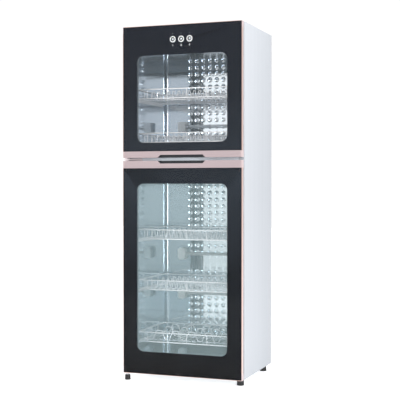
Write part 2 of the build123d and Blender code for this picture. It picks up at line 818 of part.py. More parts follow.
def door(name, z_low, z_high, handle_height, handle_low, window_rise, window_height, controls):
    """All fixed pieces of one door.

    handle_low says that the handle runs along the lower edge, otherwise along the upper one.
    controls says that the door carries the buttons above its window.
    """
    if handle_low:
        band_low, band_high = z_low, z_low + handle_height
        glass_low, glass_high = band_high, z_high - frame_wall
        stile_low, stile_high = band_high, z_high - top_cap_height
        rail_outer, inward = z_high, -1
        cap_spans = [(band_low, band_high), (z_high - top_cap_height, z_high)]
        grip_edge, grip_inner = band_low, band_low + grip_height
    else:
        band_low, band_high = z_high - handle_height, z_high
        glass_low, glass_high = z_low + frame_wall, band_low
        stile_low, stile_high = z_low + top_cap_height, band_low
        rail_outer, inward = z_low, 1
        cap_spans = [(z_low, z_low + top_cap_height), (band_low, band_high)]
        grip_edge, grip_inner = band_high, band_high - grip_height
    glass_width = cabinet_width - 2 * frame_wall
    window_z = z_low + window_rise + window_height / 2
    band_width = cabinet_width - 2 * cap_width

    with BuildPart() as glass:
        extrude(
            framed_plate(door_front, glass_width, glass_low, glass_high),
            amount=glass_thickness,
            dir=BACKWARD,
        )
        if controls:
            with BuildSketch(facing(door_front)):
                with Locations((0, button_z)):
                    with GridLocations(button_spacing, 0, 3, 1):
                        RegularPolygon(
                            bezel_neck + bezel_hole_play, bezel_sides, major_radius=False
                        )
            extrude(amount=glass_thickness, dir=BACKWARD, mode=Mode.SUBTRACT)
    finish(glass, f"{name}_glass")

    with BuildPart() as printed_border:
        extrude(
            framed_plate(print_front, glass_width, glass_low, glass_high),
            amount=print_thickness,
            dir=BACKWARD,
        )
        with BuildSketch(facing(print_front)):
            with Locations((0, window_z)):
                RectangleRounded(window_width, window_height, window_radius)
            if controls:
                with Locations((0, button_z)):
                    with GridLocations(button_spacing, 0, 3, 1):
                        RegularPolygon(
                            bezel_neck + bezel_hole_play, bezel_sides, major_radius=False
                        )
        extrude(amount=print_thickness, dir=BACKWARD, mode=Mode.SUBTRACT)
    finish(printed_border, f"{name}_black_print")

    # Handle: an extruded band with a raised lip at each edge and a finger grip cut into it.
    with BuildPart() as handle:
        with BuildSketch(from_right(-band_width / 2)):
            with BuildLine():
                Polyline(
                    (door_front, band_low),
                    (door_front, band_low + handle_lip),
                    (door_front + handle_lip_proud, band_low + handle_lip + handle_lip_proud),
                    (door_front + handle_lip_proud, band_high - handle_lip - handle_lip_proud),
                    (door_front, band_high - handle_lip),
                    (door_front, band_high),
                    (frame_back, band_high),
                    (frame_back, band_low),
                    close=True,
                )
            make_face()
        extrude(amount=band_width)
        with BuildSketch(facing(door_front)):
            with BuildLine():
                Polyline(
                    (-grip_width / 2, grip_edge),
                    (grip_width / 2, grip_edge),
                    (grip_width / 2 - grip_height, grip_inner),
                    (-grip_width / 2 + grip_height, grip_inner),
                    close=True,
                )
            make_face()
        extrude(amount=grip_depth, dir=BACKWARD, mode=Mode.SUBTRACT)
        bush_mouth = band_low if handle_low else band_high
        with BuildSketch(Plane.XY.offset(bush_mouth)):
            with Locations((pivot_x, pivot_y)):
                Rectangle(bush_width, bush_width)
        extrude(amount=-inward * bush_length, mode=Mode.SUBTRACT)
    finish(handle, f"{name}_handle")

    # Frame: two stiles and a rail of one extrusion, with a seat behind the glass.
    with BuildPart() as frame:
        with BuildSketch(Plane.XY.offset(stile_low)):
            for side in SIDES:
                edge = side * half_width
                with Locations((edge - side * frame_wall / 2, (door_front + frame_back) / 2)):
                    Rectangle(frame_wall, door_frame_depth)
                with Locations(
                    (
                        edge - side * (frame_wall + seat_flange / 2),
                        print_back + frame_wall / 2,
                    )
                ):
                    Rectangle(seat_flange, frame_wall)
                with Locations(
                    (
                        edge - side * (frame_wall + rear_flange / 2),
                        frame_back - frame_wall / 2,
                    )
                ):
                    Rectangle(rear_flange, frame_wall)
        extrude(amount=stile_high - stile_low)
        with BuildSketch(from_right(-band_width / 2)):
            with Locations(
                ((door_front + frame_back) / 2, rail_outer + inward * frame_wall / 2)
            ):
                Rectangle(door_frame_depth, frame_wall)
            with Locations(
                (
                    print_back + frame_wall / 2,
                    rail_outer + inward * (frame_wall + seat_flange / 2),
                )
            ):
                Rectangle(frame_wall, seat_flange)
            with Locations(
                (
                    frame_back - frame_wall / 2,
                    rail_outer + inward * (frame_wall + rear_flange / 2),
                )
            ):
                Rectangle(frame_wall, rear_flange)
        extrude(amount=band_width)
        with BuildSketch(Plane.XY.offset(rail_outer)):
            with Locations((pivot_x, pivot_y)):
                Rectangle(bush_width, bush_width)
        extrude(amount=inward * frame_wall, mode=Mode.SUBTRACT)
    finish(frame, f"{name}_frame")

    # End caps close the corners of the frame and the ends of the handle.
    with BuildPart() as end_caps:
        for cap_low, cap_high in cap_spans:
            for side in SIDES:
                with BuildSketch(facing(door_front)):
                    with Locations(
                        (side * (half_width - cap_width / 2), (cap_low + cap_high) / 2)
                    ):
                        Rectangle(cap_width, cap_high - cap_low)
                extrude(amount=cap_depth, dir=BACKWARD)
        upright_edges = end_caps.edges().filter_by(Axis.Z)
        chamfer(
            upright_edges.filter_by(lambda e: abs(e.center().X) > half_width - frame_wall / 2),
            length=cap_chamfer,
        )
        extrude(
            framed_plate(door_front, glass_width, glass_low, glass_high),
            amount=print_back - door_front,
            dir=BACKWARD,
            mode=Mode.SUBTRACT,
        )
    finish(end_caps, f"{name}_end_caps")

    # Inner frame: a moulded ring behind the glass frame, with a groove for the gasket.
    ring_width = cabinet_width - 2 * (cap_width + inner_frame_gap)
    ring_low, ring_high = z_low + inner_frame_gap, z_high - inner_frame_gap
    opening_radius = window_radius + liner_opening_margin
    gasket_outer_width = cabinet_width - 2 * gasket_inset
    gasket_low, gasket_high = z_low + gasket_inset, z_high - gasket_inset
    barb_inset = (gasket_width - gasket_barb_width) / 2
    groove_depth = gasket_barb_depth + barb_gap
    with BuildPart() as inner_frame:
        extrude(
            framed_plate(frame_back, ring_width, ring_low, ring_high),
            amount=inner_frame_depth,
            dir=BACKWARD,
        )
        with BuildSketch(facing(frame_back)):
            with Locations((0, window_z)):
                RectangleRounded(
                    window_width + 2 * liner_opening_margin,
                    window_height + 2 * liner_opening_margin,
                    opening_radius,
                )
        extrude(amount=inner_frame_depth, dir=BACKWARD, mode=Mode.SUBTRACT)
        groove_outer = barb_inset - barb_gap
        groove_inner = barb_inset + gasket_barb_width + barb_gap
        with BuildSketch(facing(inner_frame_back - groove_depth)):
            with Locations((0, (z_low + z_high) / 2)):
                Rectangle(
                    gasket_outer_width - 2 * groove_outer,
                    gasket_high - gasket_low - 2 * groove_outer,
                )
                Rectangle(
                    gasket_outer_width - 2 * groove_inner,
                    gasket_high - gasket_low - 2 * groove_inner,
                    mode=Mode.SUBTRACT,
                )
        extrude(amount=groove_depth, dir=BACKWARD, mode=Mode.SUBTRACT)
    finish(inner_frame, f"{name}_inner_frame")

    # Gasket: a soft ring with a barb pushed into the groove.
    with BuildPart() as gasket:
        with BuildSketch(facing(inner_frame_back)):
            with Locations((0, (z_low + z_high) / 2)):
                Rectangle(gasket_outer_width, gasket_high - gasket_low)
                Rectangle(
                    gasket_outer_width - 2 * gasket_width,
                    gasket_high - gasket_low - 2 * gasket_width,
                    mode=Mode.SUBTRACT,
                )
        extrude(amount=gasket_depth, dir=BACKWARD)
        with BuildSketch(facing(inner_frame_back)):
            with Locations((0, (z_low + z_high) / 2)):
                Rectangle(
                    gasket_outer_width - 2 * barb_inset,
                    gasket_high - gasket_low - 2 * barb_inset,
                )
                Rectangle(
                    gasket_outer_width - 2 * (barb_inset + gasket_barb_width),
                    gasket_high - gasket_low - 2 * (barb_inset + gasket_barb_width),
                    mode=Mode.SUBTRACT,
                )
        extrude(amount=-gasket_barb_depth, dir=BACKWARD)
    finish(gasket, f"{name}_gasket")

    # Hinge bushes: one in the handle, one in a block behind the rail at the far end.
    block_front = print_back + frame_wall
    block_back = frame_back - frame_wall
    block_left = -half_width + cap_width
    block_root = rail_outer + inward * frame_wall
    with BuildPart() as bushes:
        with BuildSketch(Plane.XY.offset(block_root)):
            with Locations((block_left + bush_block_width / 2, (block_front + block_back) / 2)):
                Rectangle(bush_block_width, block_back - block_front)
        extrude(amount=inward * bush_block_height)
        with BuildSketch(Plane.XY.offset(block_root)):
            with Locations((pivot_x, pivot_y)):
                Rectangle(bush_width, bush_width)
        extrude(amount=-inward * frame_wall)
        with BuildSketch(Plane.XY.offset(bush_mouth)):
            with Locations((pivot_x, pivot_y)):
                Rectangle(bush_width, bush_width)
        extrude(amount=-inward * bush_length)
        bore_reach = 2 * pin_length
        with Locations((pivot_x, pivot_y, rail_outer), (pivot_x, pivot_y, bush_mouth)):
            Cylinder(pin_radius + pin_play, bore_reach, mode=Mode.SUBTRACT)
    finish(bushes, f"{name}_hinge_bushes")


door(
    "upper_door",
    upper_door_bottom,
    upper_door_top,
    upper_handle_height,
    True,
    upper_window_rise,
    upper_window_height,
    True,
)
door(
    "lower_door",
    lower_door_bottom,
    lower_door_top,
    lower_handle_height,
    False,
    lower_window_rise,
    lower_window_height,
    False,
)

# ======================= push buttons of the upper door =======================

button_places = [(-button_spacing, button_z), (0, button_z), (button_spacing, button_z)]
bore_radius = button_radius + button_play
bezel_back = door_front + bezel_length

with BuildPart() as button_bezels:
    with BuildSketch(facing(door_front - bezel_proud)):
        with Locations(*button_places):
            RegularPolygon(bezel_radius, rim_sides)
            Circle(bore_radius, mode=Mode.SUBTRACT)
    extrude(amount=bezel_proud, dir=BACKWARD)
    with BuildSketch(facing(door_front)):
        with Locations(*button_places):
            RegularPolygon(bezel_neck, bezel_sides, major_radius=False)
            Circle(bore_radius, mode=Mode.SUBTRACT)
    extrude(amount=bezel_length, dir=BACKWARD)
finish(button_bezels, "button_bezels")

flange_front = bezel_back + button_play
button_back = flange_front + button_flange
for place, label in zip(button_places, ("left_button", "middle_button", "right_button")):
    with BuildPart() as button:
        with BuildSketch(facing(door_front - button_proud)):
            with Locations(place):
                Circle(button_radius)
        extrude(amount=flange_front - door_front + button_proud, dir=BACKWARD)
        with BuildSketch(facing(flange_front)):
            with Locations(place):
                RegularPolygon(button_flange_radius, bezel_sides, major_radius=False)
        extrude(amount=button_flange, dir=BACKWARD)
    finish(button, label)

# Switch board: it lies on the inner frame, with one plunger behind each button.
board_front_y = frame_back - board_thickness
plunger_front = button_back + switch_rest_gap
with BuildPart() as switch_board:
    with BuildSketch(facing(board_front_y)):
        with Locations((0, button_z + board_rise)):
            Rectangle(board_width, board_height)
    extrude(amount=board_thickness, dir=BACKWARD)
    with BuildSketch(facing(plunger_front + plunger_length)):
        with Locations(*button_places):
            Rectangle(switch_size, switch_size)
    extrude(amount=board_front_y - plunger_front - plunger_length, dir=BACKWARD)
    with BuildSketch(facing(plunger_front)):
        with Locations(*button_places):
            Rectangle(plunger_size, plunger_size)
    extrude(amount=plunger_length, dir=BACKWARD)
finish(switch_board, "switch_board")

# Light guides: from the board to the back of the print, which the lights shine through.
with BuildPart() as light_pipes:
    with BuildSketch(facing(print_back)):
        with Locations((0, button_z + light_rise)):
            with GridLocations(button_spacing, 0, 3, 1):
                Rectangle(light_size, light_size)
    extrude(amount=board_front_y - print_back, dir=BACKWARD)
finish(light_pipes, "light_pipes")
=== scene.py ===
# %% [markdown]
# # Dressing a two-door dish sterilizer cabinet
#
# The cabinet is a folded white steel shell round two chambers of bright stainless steel.
# Each chamber has its own door: a sheet of tempered glass with a black border fired on its
# back, held in a rose anodised aluminium frame. The solids come from the CAD model and
# already move on their hinges and runners. This file gives them their finishes, and replaces
# the pieces whose real shape is rounder or finer than a light CAD solid: racks, buttons,
# feet, lamp, heaters and gaskets.
#
# Everything is in metres, with the floor at z = 0 and the cabinet's front towards -Y.

# %% Load the imported model
import json
import math

import bpy
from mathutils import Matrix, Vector


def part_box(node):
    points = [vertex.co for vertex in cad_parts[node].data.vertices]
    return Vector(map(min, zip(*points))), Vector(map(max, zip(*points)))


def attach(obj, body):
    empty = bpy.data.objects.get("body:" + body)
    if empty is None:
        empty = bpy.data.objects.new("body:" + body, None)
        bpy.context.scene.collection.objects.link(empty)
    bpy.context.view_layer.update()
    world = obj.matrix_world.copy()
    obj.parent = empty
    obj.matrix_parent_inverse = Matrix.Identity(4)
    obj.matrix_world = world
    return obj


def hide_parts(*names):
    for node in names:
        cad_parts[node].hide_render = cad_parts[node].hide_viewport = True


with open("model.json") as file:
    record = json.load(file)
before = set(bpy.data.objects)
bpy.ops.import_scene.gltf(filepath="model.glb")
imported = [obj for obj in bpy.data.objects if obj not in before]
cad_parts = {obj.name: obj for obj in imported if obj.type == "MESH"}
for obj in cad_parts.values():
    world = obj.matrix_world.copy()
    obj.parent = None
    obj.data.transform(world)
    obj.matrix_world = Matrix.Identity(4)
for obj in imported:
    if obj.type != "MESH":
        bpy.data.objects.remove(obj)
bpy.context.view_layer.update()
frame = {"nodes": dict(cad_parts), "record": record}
nodes = frame["nodes"]
scene = bpy.context.scene
MM = 0.001

# %% [markdown]
# ## The camera
#
# The picture was taken from the front right, a little above the middle of the cabinet and
# from about four metres away. A camera could be placed by eye, but the corners of the shell
# are straight and square, so its place and lens were worked out from them: that way every
# edge of the model falls on the edge that it belongs to. A long lens keeps the verticals
# nearly parallel.

# %% Camera
camera_data = bpy.data.cameras.new("camera")
camera_data.sensor_fit = "HORIZONTAL"
camera_data.sensor_width = 36.0
camera_data.lens = 86.38
camera = bpy.data.objects.new("camera", camera_data)
scene.collection.objects.link(camera)
camera.location = (1.4779, -4.0033, 0.8457)
forward = Vector((-0.3454, 0.9383, -0.0159))
camera.rotation_mode = "QUATERNION"
camera.rotation_quaternion = forward.to_track_quat("-Z", "Y")
scene.camera = camera
print("camera at", tuple(camera.location), "lens", camera_data.lens)

# %% [markdown]
# ## Building node trees
#
# Shaders are built in code, so a few small helpers come first. Colours are written as the hex
# codes that a colour picker shows, which are sRGB, and one function turns them into the
# linear numbers that light adds up in. Another helper adds a node, sets it and links it, and
# three more on top of it stand for the nodes that are used again and again: sums on numbers,
# sums on vectors, and a range that turns one span of values into another.

# %% Colour and node helpers
def linear(code):
    """An sRGB hex code as linear red, green, blue and alpha."""
    channels = [int(code[start:start + 2], 16) / 255 for start in (1, 3, 5)]
    return tuple(
        c / 12.92 if c <= 0.04045 else ((c + 0.055) / 1.055) ** 2.4 for c in channels
    ) + (1.0,)


def add_node(tree, kind, inputs=None, **settings):
    """Add a node; inputs maps a socket's name or number to a value or to another socket."""
    node = tree.nodes.new(kind)
    for key, value in settings.items():
        setattr(node, key, value)
    for key, value in (inputs or {}).items():
        if isinstance(value, bpy.types.NodeSocket):
            tree.links.new(value, node.inputs[key])
        else:
            node.inputs[key].default_value = value
    return node


def scalar_math(owner, operation, *values):
    """A sum on numbers or sockets, in the nodes of a material or world."""
    return add_node(owner.node_tree, "ShaderNodeMath", dict(enumerate(values)),
                    operation=operation).outputs[0]


def vector_math(owner, operation, *values):
    """A sum on vectors; returns the node, as it has a vector and a number to give."""
    return add_node(owner.node_tree, "ShaderNodeVectorMath", dict(enumerate(values)),
                    operation=operation)


def span(owner, value, low, high, first=0.0, last=1.0, curve="LINEAR"):
    """Run from first to last while a value runs from low to high, and hold outside."""
    return add_node(
        owner.node_tree, "ShaderNodeMapRange",
        {"Value": value, "From Min": low, "From Max": high, "To Min": first, "To Max": last},
        interpolation_type=curve,
    ).outputs["Result"]


print("mid grey is", round(linear("#808080")[0], 4), "in linear light")

# %% [markdown]
# ## The studio
#
# The cabinet stands on a white floor in front of a white wall, under large soft lights.
# Shiny steel shows nothing but its surroundings, so the surroundings matter as much as the
# lights: the wall behind is white, the room in front of the cabinet is bright above the
# horizon and grey below it. A world shader that changes with direction gives that room
# without any walls that could stand in the way of other views.

# %% Room light by direction
scene.view_settings.view_transform = "Standard"
world = bpy.data.worlds.new("studio")
scene.world = world
world.use_nodes = True
room = world.node_tree
room.nodes.clear()
direction = add_node(room, "ShaderNodeTexCoord").outputs["Generated"]
along = add_node(room, "ShaderNodeSeparateXYZ", {"Vector": direction})
# height: grey under the horizon, bright just above it
height_light = span(world, along.outputs["Z"], -0.16, 0.02, 0.40, 0.88, "SMOOTHSTEP")
# a bright bank of light on the front left
BANK_AIM = Vector((-0.42, -0.90, 0.10)).normalized()
bank = vector_math(world, "DOT_PRODUCT", direction, BANK_AIM).outputs["Value"]
bank_light = span(world, bank, 0.93, 0.985, 0.0, 0.62, "SMOOTHSTEP")
front_light = scalar_math(world, "ADD", height_light, bank_light)
# the white wall behind the cabinet
behind = span(world, along.outputs["Y"], -0.15, 0.35, curve="SMOOTHSTEP")
brightness = add_node(room, "ShaderNodeMix", {0: behind, 2: front_light, 3: 1.04},
                      data_type="FLOAT")
background = add_node(room, "ShaderNodeBackground",
                      {"Color": linear("#ffffff"), "Strength": brightness.outputs[0]})
add_node(room, "ShaderNodeOutputWorld", {"Surface": background.outputs["Background"]})
print("world nodes", len(room.nodes))

# %% Soft boxes
def soft_box(name, place, target, width, height, power):
    """An area light that looks from its place to a target."""
    light = bpy.data.lights.new(name, "AREA")
    light.shape = "RECTANGLE"
    light.size, light.size_y = width, height
    light.energy = power
    lamp = bpy.data.objects.new(name, light)
    scene.collection.objects.link(lamp)
    lamp.location = place
    lamp.rotation_mode = "QUATERNION"
    lamp.rotation_quaternion = (Vector(target) - Vector(place)).to_track_quat("-Z", "Y")
    print(name, power, "W")


soft_box("top_light", (0.4, -0.8, 4.2), (0.0, 0.0, 0.7), 2.6, 2.6, 45)
soft_box("front_right_light", (1.7, -1.5, 2.5), (0.27, 0.0, 0.9), 1.0, 1.0, 14)
# a tall narrow one: the rounded back corners of the chambers bend its image into a bright line
soft_box("strip_light", (2.45, -2.85, 1.0), (-0.2, 0.1, 0.9), 0.62, 1.9, 46)

# %% [markdown]
# ## Finishes
#
# Each finish starts from what the real material is. A metal has its metallic value at 1 and
# takes its colour from the metal itself; plastics, paint and glass are not metallic and have
# an index of refraction near 1.5. Roughness says how wide a highlight spreads. On top of
# that every real surface is a little uneven, in a pattern whose size can be given in
# millimetres, and that unevenness is what makes it look made rather than drawn.
#
# Most finishes are therefore one recipe with other numbers: a noise of a real size moves the
# colour between two near tones, and often moves the roughness and tilts the surface too.

# %% A material and the patterns on it
def shader_of(material):
    """The material's Principled shader."""
    return material.node_tree.nodes["Principled BSDF"]


def new_finish(name, **sockets):
    """A material with a Principled shader, and values for the shader's own sockets."""
    material = bpy.data.materials.new(name)
    material.use_nodes = True
    for key, value in sockets.items():
        shader_of(material).inputs[key.replace("_", " ")].default_value = value
    return material


def feed(material, socket, value):
    """Let a pattern decide one of the shader's sockets."""
    material.node_tree.links.new(value, shader_of(material).inputs[socket])


def stretch(material, size_mm):
    """Coordinates whose unit is a number of millimetres, or one such number for each axis."""
    sizes = size_mm if isinstance(size_mm, tuple) else (size_mm, size_mm, size_mm)
    place = add_node(material.node_tree, "ShaderNodeTexCoord").outputs["Object"]
    return add_node(
        material.node_tree, "ShaderNodeMapping",
        {"Vector": place, "Scale": tuple(1000 / size for size in sizes)},
    ).outputs["Vector"]


def noise(material, size_mm, detail=2.0):
    """A soft random pattern whose blots have a real size."""
    return add_node(
        material.node_tree, "ShaderNodeTexNoise",
        {"Vector": stretch(material, size_mm), "Scale": 1.0, "Detail": detail},
    ).outputs[0]


def tone(material, factor, dark, light):
    """Let the base colour wander between two hex colours with a factor."""
    mix = add_node(material.node_tree, "ShaderNodeMix",
                   {0: factor, 6: linear(dark), 7: linear(light)}, data_type="RGBA")
    feed(material, "Base Color", mix.outputs[2])


def vary_roughness(material, factor, low, high):
    """Let the roughness wander between two values with a factor."""
    feed(material, "Roughness", span(material, factor, 0, 1, low, high))


def relief(material, height, depth_mm, strength):
    """Let a height pattern tilt the surface by a real depth in millimetres."""
    bump = add_node(
        material.node_tree, "ShaderNodeBump",
        {"Height": height, "Distance": depth_mm * MM, "Strength": strength},
    )
    feed(material, "Normal", bump.outputs["Normal"])


# %% The recipe for grained surfaces
def grained(name, dark, light, size_mm, roughness, depth_mm=0.0, strength=0.4, detail=2.0,
            **sockets):
    """A finish that follows one noise: its tone, its height if it has a depth, and its
    roughness if that is a pair of values."""
    material = new_finish(name, **sockets)
    grain = noise(material, size_mm, detail)
    tone(material, grain, dark, light)
    if isinstance(roughness, tuple):
        vary_roughness(material, grain, *roughness)
    else:
        shader_of(material).inputs["Roughness"].default_value = roughness
    if depth_mm:
        relief(material, grain, depth_mm, strength)
    return material


finishes = {}

# %% [markdown]
# Some pieces have two colours that depend on the place: a dark pocket in a handle, a dark
# skirt under a silver cap. Both dark colours are painted shade of a recess. A mask is a
# number that is 1 there and 0 elsewhere. It comes from comparing coordinates, so it needs no
# picture and stays sharp from near.

# %% Masks by place
def coordinate(material, letter):
    """One coordinate of the place on a piece, in metres."""
    place = add_node(material.node_tree, "ShaderNodeTexCoord").outputs["Object"]
    return add_node(material.node_tree, "ShaderNodeSeparateXYZ",
                    {"Vector": place}).outputs[letter]


def within(material, letter, middle, reach):
    """1 where a coordinate is no farther than a reach from a middle."""
    return scalar_math(material, "COMPARE", coordinate(material, letter), middle, reach)


def recolour(material, mask, code, blend="MIX"):
    """Paint a hex colour over the base colour, or blend it in, where a mask is 1."""
    base = shader_of(material).inputs["Base Color"].links[0].from_socket
    mix = add_node(material.node_tree, "ShaderNodeMix", {0: mask, 6: base, 7: linear(code)},
                   data_type="RGBA", blend_type=blend)
    feed(material, "Base Color", mix.outputs[2])


# %% [markdown]
# ### The floor
#
# A seamless paper floor has no visible edge. It is a plain plane, large enough for the
# whole picture, nearly white with the faintest unevenness. To the right, well in front of
# the cabinet and outside the picture, it is painted grey and loses its glow: painted shade,
# which shows in the steel.

# %% Floor
FLOOR_GLOW = 0.55  # a little light of its own, as lit paper has in a studio
paper = new_finish("studio_paper", Roughness=0.9, Specular_IOR_Level=0.1,
                   Emission_Color=linear("#ffffff"))
# painted shade: grey paper without glow, well in front and to the right, which the steel reflects
painted_floor_shade = scalar_math(paper, "MINIMUM", span(paper, coordinate(paper, "Y"), -0.75, -1.25),
                   span(paper, coordinate(paper, "X"), -0.25, 0.4))
tone(paper, noise(paper, 1000 / 3), "#f9fafb", "#fdfdfe")
recolour(paper, painted_floor_shade, "#9ba2a7")
feed(paper, "Emission Strength",
     scalar_math(paper, "MULTIPLY_ADD", painted_floor_shade, -FLOOR_GLOW, FLOOR_GLOW))
floor_mesh = bpy.data.meshes.new("floor")
floor_mesh.from_pydata(
    [(-9, -3.2, 0), (9, -3.2, 0), (9, 14, 0), (-9, 14, 0)], [], [(0, 1, 2, 3)]
)
floor_mesh.materials.append(paper)
floor = bpy.data.objects.new("floor", floor_mesh)
scene.collection.objects.link(floor)
print("floor", tuple(floor.dimensions))

# %% [markdown]
# ### Powder coated steel
#
# The shell is sheet steel, sprayed with dry polyester powder and baked. The powder melts
# into a satin skin with a shallow orange peel: bumps about 2 mm across and a few
# micrometres deep. At this distance they are under a pixel, so they are drawn 4 mm across.
# The white is slightly blue, and large sheets are never quite flat, which shows as faint
# upright streaks. A slow fall of tone towards the back and the floor is painted shade.

# %% White powder coat with painted shade, and a paler copy on the cross beam as painted light
shell_paint = new_finish("powder_coated_steel_white")
streaks = noise(shell_paint, (160, 14, 900))
shell_place = add_node(shell_paint.node_tree, "ShaderNodeTexCoord").outputs["Object"]
# painted shade: the tone falls towards the back and the floor along this slope
painted_shade_slope = vector_math(shell_paint, "DOT_PRODUCT", shell_place, (0.0, -0.9, 0.45))
streaks_and_painted_shade = scalar_math(shell_paint, "MULTIPLY_ADD", streaks, 0.36, painted_shade_slope.outputs["Value"])
tone(shell_paint, span(shell_paint, streaks_and_painted_shade, 0, 1), "#999ea5", "#bfc3c9")
vary_roughness(shell_paint, streaks, 0.34, 0.44)
relief(shell_paint, noise(shell_paint, 4), 0.03, 0.4)
finishes["shell_paint"] = shell_paint
# the cross beam is white paint as well, drawn much paler than the shell: painted light that lifts
# it out of the shade of the gap between the doors
finishes["beam_paint"] = grained(
    "powder_coated_steel_painted_light", "#e4eaf2", "#eef2f8", 4, 0.42, depth_mm=0.03)
print(list(finishes))

# %% [markdown]
# ### Galvanised steel
#
# The back panel and the base pan are not painted. They are dipped in zinc, which freezes
# into flat crystals, the spangle, about 8 mm across. Voronoi cells are the same kind of
# pattern: each crystal has its own tone and reflects a little differently.

# %% Zinc coated sheet
zinc_sheet = new_finish("galvanised_steel", Metallic=1.0)
spangle = add_node(zinc_sheet.node_tree, "ShaderNodeTexVoronoi",
                   {"Vector": stretch(zinc_sheet, 8), "Scale": 1.0, "Randomness": 1.0})
crystal = add_node(zinc_sheet.node_tree, "ShaderNodeSeparateColor",
                   {"Color": spangle.outputs["Color"]})
tone(zinc_sheet, crystal.outputs[0], "#a4aaae", "#c2c7ca")
vary_roughness(zinc_sheet, crystal.outputs[1], 0.34, 0.55)
finishes["zinc_sheet"] = zinc_sheet
print(zinc_sheet.name)

# %% [markdown]
# ### Bright stainless steel
#
# The chambers are lined with bright annealed stainless steel, which is nearly a mirror:
# rolled between polished rolls, it keeps only faint rolling lines along the sheet. It makes
# most of what is seen through the windows. Its roughness is low and slightly uneven, and a
# shallow, slow waviness of the thin sheet bends the reflections. The sheets at the back are
# pressed into bumps, which are built as real shapes further down. Pressing leaves them with
# a haze instead of the rolling lines.
#
# The real glass is a little green, and more so in the lower door. The drawn glass is a clear
# skin, so that tint is given to the steel of the lower chamber.

# %% Liner sheets
CHAMBER_SPLIT = 0.93  # the height between the two chambers, in metres

liner_steel = grained("bright_stainless_steel", "#cfd9e4", "#dee7f0", (3, 3, 260),
                      (0.06, 0.13), detail=3.0, Metallic=1.0)
waviness = noise(liner_steel, (90, 90, 160), 0.0)
relief(liner_steel, waviness, 0.35, 0.6)
embossed_steel = grained("embossed_stainless_steel", "#d3dbe2", "#e0e6eb", 12, (0.05, 0.12),
                         Metallic=1.0)
for steel in (liner_steel, embossed_steel):
    below = scalar_math(steel, "LESS_THAN", coordinate(steel, "Z"), CHAMBER_SPLIT)
    recolour(steel, below, "#f1f5f3", "MULTIPLY")
finishes["polished_liner"] = liner_steel
finishes["embossed_liner"] = embossed_steel
print(liner_steel.name, embossed_steel.name)

# %% [markdown]
# ### Foam and laminate out of sight
#
# The insulation is cut polyurethane foam, whose cells are about 1 mm wide, drawn 3 mm here.
# The circuit board is glass-fibre laminate under green solder resist, and its weave shows
# faintly through the resist.

# %% Foam board and laminate
foam_board = new_finish("polyurethane_foam", Roughness=0.95)
cells = add_node(foam_board.node_tree, "ShaderNodeTexVoronoi",
                 {"Vector": stretch(foam_board, 3), "Scale": 1.0})
tone(foam_board, cells.outputs["Distance"], "#d9cfa4", "#eee7c8")
relief(foam_board, cells.outputs["Distance"], 0.4, 0.8)
finishes["insulation_board"] = foam_board

laminate = new_finish("glass_fibre_laminate", Roughness=0.35)
weave = add_node(laminate.node_tree, "ShaderNodeTexWave",
                 {"Vector": stretch(laminate, 2), "Scale": 1.0, "Distortion": 1.5})
tone(laminate, weave.outputs[0], "#234b33", "#2f6144")
finishes["board_laminate"] = laminate
print(foam_board.name, laminate.name)

# %% [markdown]
# ### Chromium plated wire
#
# The racks are steel wire, drawn, bent, spot welded and then plated. Plating leaves a
# bright skin with duller spots near the welds. A thin wire that is a pure mirror turns into
# broken black and white dots at this distance, so it is drawn only half metallic, which
# keeps an even light tone along it.

# %% Plated wire
rack_wire = grained("chromium_plated_wire", "#e8eaec", "#fafafb", 14, (0.10, 0.24), Metallic=0.5)
finishes["rack_wire"] = rack_wire
print(rack_wire.name)

# %% [markdown]
# ### Quartz, glass and ceramic
#
# The heater tubes are fused quartz with a matt outer skin, the lamp is clear quartz, and
# both end in holders: porous white steatite ceramic for the hot tubes and white
# polybutylene plastic for the lamp. Quartz is drawn, so its patterns are long along the tube.

# %% Tubes and holders
quartz_tube = grained("frosted_fused_quartz", "#d3d5d2", "#ebebe7", (20, 5, 5), 0.42,
                      IOR=1.46, Alpha=0.55)
lamp_glass = grained("clear_fused_quartz", "#dbe4ea", "#eff4f7", (90, 3, 3), 0.05, detail=1.0,
                     IOR=1.46, Alpha=0.35)
finishes["quartz_glass"] = quartz_tube
finishes["lamp_glass"] = lamp_glass
finishes["ceramic"] = grained("steatite_ceramic", "#d3d8d7", "#e8ecea", 2, 0.7, depth_mm=0.1,
                              strength=0.6, detail=3.0, IOR=1.55)
finishes["white_plastic"] = grained("polybutylene_white", "#dadedf", "#eaedee", 3, 0.45,
                                    depth_mm=0.05, strength=0.5)
print(quartz_tube.name, lamp_glass.name)

# %% [markdown]
# ### Moulded plastics
#
# ABS and other moulded parts take the fine spark-eroded grain of their steel mould, about
# 0.3 mm wide. That is far below a pixel, so it is drawn 1.5 mm wide or more. All of them
# share one recipe and differ in colour, gloss and grain, so a short list is enough.

# %% Moulded parts
for slot, name, dark, light, gloss, grain_mm, depth_mm in (
    ("grey_plastic", "abs_grey", "#6f7478", "#7f8488", 0.5, 1.5, 0.05),
    ("black_plastic", "abs_black", "#19191b", "#232326", 0.45, 1.5, 0.05),
    ("frame_plastic", "abs_white", "#dfe2e6", "#e9ecef", 0.5, 1.5, 0.05),
    ("bush_plastic", "acetal_dark", "#26262a", "#323236", 0.35, 2.0, 0.02),
    ("rose_plastic", "abs_rose", "#b5a2a2", "#c5b2b2", 0.34, 2.0, 0.02),
    ("gasket_rubber", "soft_pvc_pale", "#d3d6da", "#e1e4e7", 0.55, 2.5, 0.04),
    ("foot_rubber", "nitrile_rubber_black", "#0b0b0c", "#131314", 0.6, 1.5, 0.1),
):
    finishes[slot] = grained(name, dark, light, grain_mm, (gloss - 0.05, gloss + 0.06),
                             depth_mm=depth_mm, strength=0.5, detail=3.0, IOR=1.52)
print(len(finishes), "finishes so far")

# %% [markdown]
# The doors' inner frames are moulded in two colours: white outside, where they show in the
# gaps round the doors, and dark grey round the windows, where white would glare.

# %% Two colours of the inner frames
frame_plastic = finishes["frame_plastic"]
